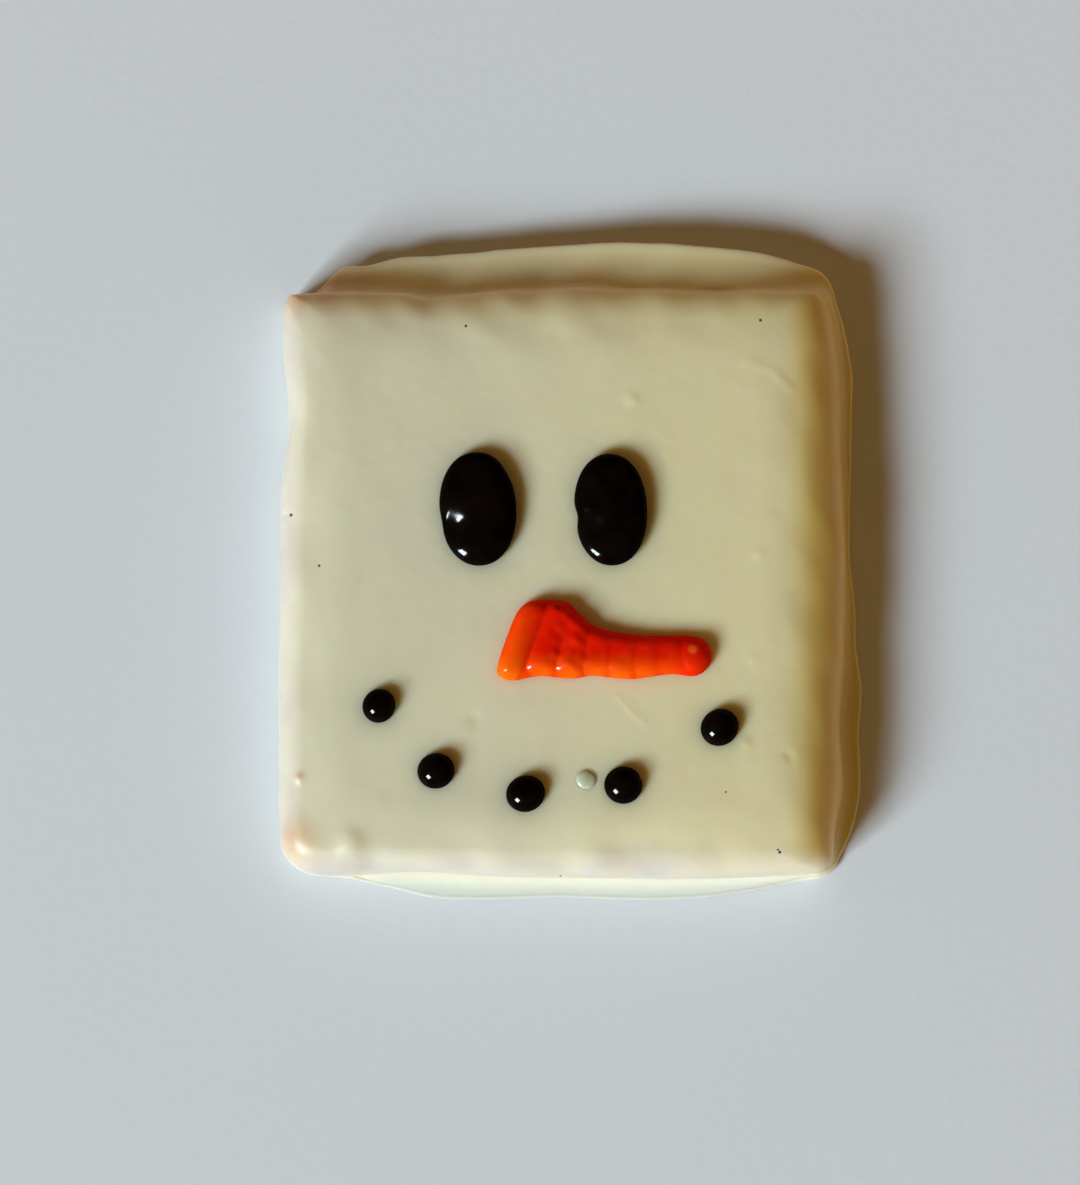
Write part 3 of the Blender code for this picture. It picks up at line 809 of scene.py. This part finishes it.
def dome_mesh(radius_at, top, power, widest, tuck, columns, rows):
    """A piped blob: radius_at gives its outline by angle, and top its height at each point.

    It is widest a little above what it lies on, and its foot is tucked in under that."""
    angles = 2 * np.pi * np.arange(columns) / columns
    outer = radius_at(angles)
    ways = np.stack([np.cos(angles), np.sin(angles)], axis=1)
    rings = []
    for tucked, height in ((1.0, -SINK), (0.55, 0.1 * widest), (0.15, 0.5 * widest)):
        flat = ways * (outer * (1 - tuck * tucked))[:, None]
        rings.append(np.column_stack([flat, np.full(columns, height)]))
    for turn in np.radians(np.linspace(90, 90 / rows, rows)):
        share = math.sin(turn) ** RING_SPREAD
        flat = ways * (outer * share)[:, None]
        rise = (1 - share**power) ** (1 / power)
        rings.append(np.column_stack([flat, widest + (top(flat) - widest) * rise]))
    points = np.concatenate(rings)
    faces = ring_faces(columns, len(rings))
    faces.append(list(range(columns))[::-1])
    first = len(points) - columns
    tip = len(points)
    points = np.vstack([points, [0.0, 0.0, float(top(np.zeros((1, 2)))[0])]])
    faces += [[first + k, first + (k + 1) % columns, tip] for k in range(columns)]
    return points, faces


def turned(points, degrees, place, base):
    """Points turned about the vertical and set at a place on the face."""
    a = math.radians(degrees)
    turn = np.array([[math.cos(a), -math.sin(a)], [math.sin(a), math.cos(a)]])
    flat = points[:, :2] @ turn.T + np.array(place)
    return np.column_stack([flat, points[:, 2] + base])


def oval(half, power, dents):
    """An outline by angle: a squared ellipse with dents, each an angle, a half width and a depth."""

    def radius(angles):
        cos, sin = np.cos(angles), np.sin(angles)
        total = ((np.abs(cos) / half[0]) ** power + (np.abs(sin) / half[1]) ** power) ** (-1 / power)
        for at, width, depth in dents:
            away = (np.degrees(angles) - at + 180) % 360 - 180
            total = total - depth * fade(away / width)
        return total

    return radius


def lumpy(height, lumps):
    """A top's height with lumps and hollows: x, y, radius, height of each."""

    def top(flat):
        total = np.full(len(flat), float(height))
        for x, y, radius, rise in lumps:
            total = total + rise * fade(np.linalg.norm(flat - (x, y), axis=1) / radius)
        return total

    return top


EYES = {
    "left": dict(place=(-9.85, 5.52), half=(4.02, 5.98), lean=3.0, power=2.15,
                 dents=((198.0, 18.0, 0.16), (50.0, 14.0, 0.12)),
                 lumps=((0.4, 1.9, 2.6, 0.1), (-2.65, -2.0, 1.6, -0.85), (-0.9, -4.0, 1.4, 0.12))),
    "right": dict(place=(4.02, 5.44), half=(3.82, 5.88), lean=2.5, power=2.15,
                  dents=((190.0, 17.0, 0.34),),
                  lumps=((0.0, 2.0, 2.4, 0.1), (-1.95, -2.1, 1.6, -0.72), (2.7, 1.5, 0.45, 0.1),
                         (-0.3, -2.9, 1.9, 0.06))),
}
DROPS = (
    dict(place=(-20.08, -15.07), half=(1.78, 1.7), lean=62.0, taller=-0.08),
    dict(place=(-14.14, -21.82), half=(1.93, 1.84), lean=15.0),
    dict(place=(-4.85, -24.18), half=(2.03, 1.88), lean=20.0),
    dict(place=(5.28, -23.29), half=(1.98, 1.94), dents=((22.0, 7.0, 0.14),)),
    dict(place=(15.3, -17.31), half=(2.02, 1.88), lean=35.0, taller=0.05),
)
BEAD = dict(place=(1.44, -22.7), half=(1.05, 0.98), dents=((55.0, 24.0, 0.12),),
            lumps=((0.4, 0.35, 0.4, -0.04),))
EYE_FORM = dict(power=2.25, widest=0.5, tuck=0.05, columns=160, rows=44)
DROP_FORM = dict(power=1.95, widest=0.12, tuck=0.04, columns=96, rows=30)
BEAD_FORM = dict(power=2.0, widest=0.05, tuck=0.03, columns=48, rows=14)
DARK_MATERIAL = "dark_chocolate_icing"


def blob_shape(blob):
    return oval(blob["half"], blob.get("power", 2.0), blob.get("dents", ()))


def blob_loop(blob):
    """The outline of an eye or a drop on the face."""
    angles = np.radians(np.arange(0, 360, 10))
    ways = np.stack([np.cos(angles), np.sin(angles), 0 * angles], axis=1)
    return turned(ways * blob_shape(blob)(angles)[:, None], blob.get("lean", 0.0), blob["place"], 0.0)[:, :2]


def blob_mesh(blob, height, form, base):
    """Points and faces of a bead, an eye or a drop that stands on the face."""
    top = lumpy(height + blob.get("taller", 0.0), blob.get("lumps", ()))
    points, faces = dome_mesh(blob_shape(blob), top, **form)
    return turned(points, blob.get("lean", 0.0), blob["place"], base), faces


def duller_at_rim(finish, shader, body):
    """Takes the shine off where the surface turns away, and would mirror only the coat round it."""
    dull = finish.node("ShaderNodeBsdfPrincipled", output="BSDF")
    set_shader(finish, dull.output.node, Roughness=0.6, Specular_IOR_Level=0.0, **body)
    away = finish.node("ShaderNodeLayerWeight", None, {"Blend": 0.5}, "Facing").ease(0.08, 0.3)
    shine = Socket(finish, shader.outputs["BSDF"])
    seen = finish.node("ShaderNodeMixShader", None, {0: away * 0.94, 1: shine, 2: dull})
    finish.put(finish.tree.nodes["Material Output"].inputs["Surface"], seen)


def dark_material(settings):
    """Dark chocolate, almost black and wet looking."""
    material, finish, shader = new_material(DARK_MATERIAL)
    place = finish.place()
    cloud = finish.noise(place, 2.2, 2.0)
    fine = finish.noise(place, 0.4, 2.0)
    low = 1 - finish.axes(place)[2].ease(9.4, 10.2)
    cocoa = finish.blend(cloud.ease(0.35, 0.7) * 0.4, settings.cocoa, settings.edge)
    cocoa = finish.blend(low * 0.25, cocoa, settings.edge)
    body = dict(Base_Color=cocoa, Normal=bumped(finish, cloud * 0.9 + fine * 0.1, 0.015))
    set_shader(finish, shader, Roughness=settings.roughness + (cloud - 0.5) * 0.04, IOR=1.45, **body)
    duller_at_rim(finish, shader, body)
    return material


def bead_material(settings):
    """White chocolate in a small glossy bead."""
    material, finish, shader = new_material("white_bead")
    cloud = finish.noise(finish.place(), 0.8, 2.0)
    set_shader(
        finish,
        shader,
        Base_Color=finish.blend(cloud, settings.cream, settings.cream_light),
        Roughness=settings.roughness + cloud * 0.08,
        Subsurface_Weight=0.8,
        Subsurface_Radius=(1.0, 0.9, 0.6),
        Subsurface_Scale=1.0 * MM,
        Normal=bumped(finish, cloud, 0.01),
    )
    return material


def pipe_dark(context, blobs, height, form):
    """Pipes dark chocolate, given as each piece's name, the solid it stands for and its blob."""
    settings = context.scene.snowman_cracker
    material = bpy.data.materials.get(DARK_MATERIAL) or dark_material(settings.dark)
    for name, node, blob in blobs:
        points, faces = blob_mesh(blob, height, form, settings.coat.face_height)
        add_piece(name, points, faces, material, "dark_chocolate", node)


class CRACKER_OT_bead(bpy.types.Operator):
    """Makes the stray bead of white chocolate on the face"""

    bl_idname = "cracker.bead"
    bl_label = "White bead"

    def execute(self, context):
        everything = context.scene.snowman_cracker
        settings = everything.bead
        points, faces = blob_mesh(BEAD, settings.height, BEAD_FORM, everything.coat.face_height)
        add_piece("coat_bead", points, faces, bead_material(settings), "white_chocolate")
        return {"FINISHED"}


class CRACKER_OT_eyes(bpy.types.Operator):
    """Pipes the two eyes"""

    bl_idname = "cracker.eyes"
    bl_label = "Eyes"

    def execute(self, context):
        blobs = [(f"piped_eye_{name}", f"eye_{name}", eye) for name, eye in EYES.items()]
        pipe_dark(context, blobs, context.scene.snowman_cracker.dark.eye_height, EYE_FORM)
        return {"FINISHED"}


class CRACKER_OT_mouth(bpy.types.Operator):
    """Pipes the five drops of the mouth"""

    bl_idname = "cracker.mouth"
    bl_label = "Mouth drops"

    def execute(self, context):
        blobs = [(f"piped_drop_{k}", f"mouth_drop_{k}", drop) for k, drop in enumerate(DROPS, 1)]
        pipe_dark(context, blobs, context.scene.snowman_cracker.dark.drop_height, DROP_FORM)
        return {"FINISHED"}


# ------ the nose

NOSE_OUTLINE = (
    (-7.8, -11.1), (-6.7, -7.6), (-5.5, -5.0), (-3.8, -4.05), (-0.7, -4.25), (0.9, -5.6), (2.8, -6.95),
    (7.1, -7.7), (12.4, -7.8), (14.15, -8.7), (14.4, -10.6), (12.9, -11.95), (10.2, -11.8),
    (6.0, -12.3), (2.1, -11.95), (0.0, -12.25), (-3.4, -12.0), (-6.1, -12.45), (-7.4, -12.1),
)
NOSE_STROKES = (  # from where to where each was piped
    ((-4.1, -5.3), (-6.7, -11.2)), ((-1.5, -5.6), (-3.2, -11.0)), ((0.5, -6.9), (-0.3, -11.3)),
    ((2.9, -8.4), (2.4, -11.0)), ((5.3, -8.9), (5.0, -11.3)), ((7.7, -9.1), (7.7, -11.1)),
    ((10.0, -9.2), (10.1, -10.9)), ((12.6, -9.6), (12.7, -10.2)),
)
NOSE_SIDE = 1.7  # how far in from its outline the nose is fully high
NOSE_SIDE_POWER = 2.3
NOSE_EDGE = 0.25  # its least height
NOSE_SPACING = 0.22
NOSE_SPACING_BESIDE = 0.8
NOSE_RIM_ROWS = (0.03, 0.1, 0.2, 0.34)
NOSE_SKIRT = ((0.16, -SINK), (0.06, SINK))  # depth inside the outline and height, for each ring under it
# painted light share of the rings under the nose's rim
NOSE_SKIRT_LIGHT = 0.6
# where the painted highlight near the tip lies
NOSE_GLINT_SPOT = (12.45, -9.3)
# where the darker spot near the top lies
NOSE_DARK_SPOT = (-1.55, -5.0)


def nose_loop(spacing):
    """The nose's outline, anticlockwise from above."""
    loop = smooth_loop(NOSE_OUTLINE, spacing)
    area = np.sum(loop[:, 0] * np.roll(loop[:, 1], -1) - np.roll(loop[:, 0], -1) * loop[:, 1])
    return loop if area > 0 else loop[::-1]


def inward_rows(loop, depths):
    """Rows of points inside a loop, at each depth from it."""
    run = np.roll(loop, -1, axis=0) - np.roll(loop, 1, axis=0)
    run /= np.linalg.norm(run, axis=1)[:, None]
    inward = np.stack([-run[:, 1], run[:, 0]], axis=1)
    return [loop + inward * depth for depth in depths]


def nose_heights(flat, depth, settings):
    """Heights of the piped strokes above the face, and how much of a rib each point is."""
    ropes = []
    for start, end in NOSE_STROKES:
        away = distance_to_segment(flat, start, end) / settings.rib_width
        ropes.append(np.sqrt(np.clip(1 - away**2, 0, 1)))
    ribs = np.clip(np.sum(np.array(ropes) ** 4, axis=0) ** 0.25, 0, 1)
    fading = 1 - 0.55 * ease(flat[:, 0], -3.0, 8.0)
    top = settings.valley_height + settings.rib_height * ribs * fading
    crumple = ease(flat[:, 0], -3.5, -1.5) * (1 - ease(flat[:, 0], 1.5, 3.5))
    deep = np.column_stack([flat, np.zeros(len(flat))])
    top = top + 0.04 * Ripple(31, 1.7).at(deep) * crumple + 0.015 * Ripple(32, 1.8).at(deep)
    rise = (1 - (1 - np.clip(depth / NOSE_SIDE, 0, 1)) ** NOSE_SIDE_POWER) ** (1 / NOSE_SIDE_POWER)
    return top * rise, ribs


def nose_material(settings):
    """Orange icing: glossy, with painted light: orange where the light falls and red in the shade, and
    redder where it is thick.
    """
    material, finish, shader = new_material("orange_icing_nose")
    place = finish.place()
    cloud = finish.noise(place, 1.6, 3.0)
    fine = finish.noise(place, 0.35, 2.0)
    light = finish.painted("light")
    colour_at = finish.blend(light + (cloud - 0.5) * 0.35, settings.red, settings.orange)
    # painted highlight near the tip
    pale = finish.near(place, NOSE_GLINT_SPOT, 0.45, 0.4)
    colour_at = finish.blend(pale * 0.45, colour_at, settings.pale)
    deep = finish.near(place, NOSE_DARK_SPOT, 0.3, 0.6)
    colour_at = finish.blend(deep * 0.6, colour_at, settings.deep)
    body = dict(
        Base_Color=colour_at,
        Subsurface_Weight=0.4,
        Subsurface_Radius=(1.0, 0.16, 0.03),
        Subsurface_Scale=1.2 * MM,
        Normal=bumped(finish, cloud * 0.7 + fine * 0.3, 0.05),
    )
    set_shader(finish, shader, Roughness=settings.roughness + (cloud - 0.5) * 0.12, IOR=1.47, **body)
    duller_at_rim(finish, shader, body)
    return material


class CRACKER_OT_nose(bpy.types.Operator):
    """Pipes the carrot nose, to and fro"""

    bl_idname = "cracker.nose"
    bl_label = "Carrot nose"

    def execute(self, context):
        everything = context.scene.snowman_cracker
        settings = everything.nose
        base = everything.coat.face_height
        loop = nose_loop(NOSE_SPACING)
        count = len(loop)
        flat, top_faces = fill(loop, inward_rows(loop, NOSE_RIM_ROWS), NOSE_SPACING)
        heights, ribs = nose_heights(flat, distance_to_loop(flat, loop), settings)
        upper = np.column_stack([flat, base + np.maximum(heights, NOSE_EDGE)])
        under = inward_rows(loop, [depth for depth, _ in NOSE_SKIRT])
        skirt = [
            np.column_stack([ring, np.full(count, base + height)])
            for ring, (_, height) in zip(under, NOSE_SKIRT)
        ]
        points = np.concatenate([*skirt, upper])
        first = len(skirt) * count
        faces = ring_faces(count, len(skirt) + 1)
        faces += [[first + k for k in face] for face in top_faces]
        faces.append(list(range(count))[::-1])
        nose = add_piece(
            "piped_nose", points, faces, nose_material(settings), "orange_icing", "carrot_nose"
        )
        x, y = flat.T
        # Painted light: orange on the lower edge, the left end and the ribs, which face the light, and less
        # towards the right end.
        lit = 0.9 * ease(-y, 9.3, 12.4) + 0.5 * (1 - ease(x, -6.5, -3.2))
        lit *= (0.35 + 0.75 * ribs) * (1 - 0.68 * ease(x, 6.5, 12.0))
        paint(nose, "light", np.concatenate([np.full(first, NOSE_SKIRT_LIGHT), np.clip(lit, 0, 1)]))
        return {"FINISHED"}


# ------ the stage

CAMERA_PLACE = (-3.352, -35.676, 318.247)
CAMERA_TILT = 6.0  # degrees back from straight down
SENSOR_WIDTH = 36.0
CLIP_START, CLIP_END = 0.01, 20.0  # metres
FLOOR_HALF = 4.0  # metres
PANE_GAP = 0.08  # metres between the two panes of the key light


def floor_material(settings):
    """A plain pale floor with the faintest unevenness."""
    material, finish, shader = new_material("pale_floor")
    place = finish.place()
    cloud = finish.noise(place, 30.0, 4.0)
    fine = finish.noise(place, 1.2, 4.0)
    shade = [c * 0.95 for c in settings.floor]
    set_shader(
        finish,
        shader,
        Base_Color=finish.blend(cloud * 0.6 + fine * 0.4, shade, settings.floor),
        Roughness=0.7 + (fine - 0.5) * 0.1,
        Specular_IOR_Level=0.2,
        Normal=bumped(finish, fine, 0.02),
    )
    return material


def key_light(settings):
    """A soft square light in two panes, low on the left in front."""
    up, turn = math.radians(settings.key_elevation), math.radians(settings.key_azimuth)
    way = Vector((-math.cos(up) * math.cos(turn), -math.cos(up) * math.sin(turn), math.sin(up)))
    facing = way.to_track_quat("Z", "Y")
    across = facing @ Vector((1, 0, 0))
    pane = (settings.key_size - PANE_GAP) / 2
    for name, side in (("left", -1), ("right", 1)):
        data = bpy.data.lights.new(f"key_{name}", "AREA")
        data.shape = "RECTANGLE"
        data.size = pane
        data.size_y = settings.key_size
        data.energy = settings.key_watts / 2
        data.color = settings.key
        light = bpy.data.objects.new(f"key_{name}", data)
        light.rotation_mode = "QUATERNION"
        light.rotation_quaternion = facing
        light.location = way * settings.key_distance + across * side * (pane + PANE_GAP) / 2
        bpy.context.scene.collection.objects.link(light)


def room_light(settings):
    """Warm light from the room all round, which fades out straight above."""
    world = bpy.data.worlds.new("room")
    bpy.context.scene.world = world
    world.use_nodes = True
    finish = Finish(world.node_tree)
    way = finish.node("ShaderNodeTexCoord", output="Generated")
    height = finish.axes(way)[2]
    strength = (1 - height.ease(0.0, 1.0)) * settings.room
    back = world.node_tree.nodes["Background"]
    finish.put(back.inputs["Color"], settings.warm)
    finish.put(back.inputs["Strength"], strength)
    world.cycles_visibility.glossy = False


class CRACKER_OT_stage(bpy.types.Operator):
    """Makes the floor, the lights and the camera"""

    bl_idname = "cracker.stage"
    bl_label = "Stage"

    def execute(self, context):
        settings = context.scene.snowman_cracker.stage
        half = FLOOR_HALF
        mesh = bpy.data.meshes.new("floor")
        corners = [(-half, -half, 0), (half, -half, 0), (half, half, 0), (-half, half, 0)]
        mesh.from_pydata(corners, [], [(0, 1, 2, 3)])
        mesh.materials.append(floor_material(settings))
        floor = bpy.data.objects.new("floor", mesh)
        context.scene.collection.objects.link(floor)
        key_light(settings)
        room_light(settings)
        data = bpy.data.cameras.new("camera")
        data.lens = settings.lens
        data.sensor_width = SENSOR_WIDTH
        data.clip_start = CLIP_START
        data.clip_end = CLIP_END
        camera = bpy.data.objects.new("camera", data)
        camera.location = Vector(CAMERA_PLACE) * MM
        camera.rotation_euler = (math.radians(CAMERA_TILT), 0.0, 0.0)
        context.scene.collection.objects.link(camera)
        context.scene.camera = camera
        context.scene.view_settings.view_transform = "Standard"
        return {"FINISHED"}


# ------ the panel and the run

OPERATORS = (
    CRACKER_OT_stage,
    CRACKER_OT_coat,
    CRACKER_OT_bead,
    CRACKER_OT_eyes,
    CRACKER_OT_nose,
    CRACKER_OT_mouth,
)


class CRACKER_PT_pieces(bpy.types.Panel):
    """Lists the pieces and their settings"""

    bl_idname = "CRACKER_PT_pieces"
    bl_label = "Snowman cracker"
    bl_space_type = "VIEW_3D"
    bl_region_type = "UI"
    bl_category = "Cracker"

    def draw(self, context):
        for operator in OPERATORS:
            self.layout.operator(operator.bl_idname)
        settings = context.scene.snowman_cracker
        for name in Settings.__annotations__:
            box = self.layout.box()
            box.label(text=name.capitalize())
            group = getattr(settings, name)
            for key in type(group).__annotations__:
                box.prop(group, key)


CLASSES = (
    CoatSettings,
    BeadSettings,
    DarkSettings,
    NoseSettings,
    StageSettings,
    Settings,
    *OPERATORS,
    CRACKER_PT_pieces,
)


def register():
    for made in CLASSES:
        bpy.utils.register_class(made)
    bpy.types.Scene.snowman_cracker = PointerProperty(type=Settings)


def unregister():
    del bpy.types.Scene.snowman_cracker
    for made in reversed(CLASSES):
        bpy.utils.unregister_class(made)


def main():
    register()
    for operator in OPERATORS:
        group, name = operator.bl_idname.split(".")
        getattr(getattr(bpy.ops, group), name)()


if __name__ == "__main__":
    main()
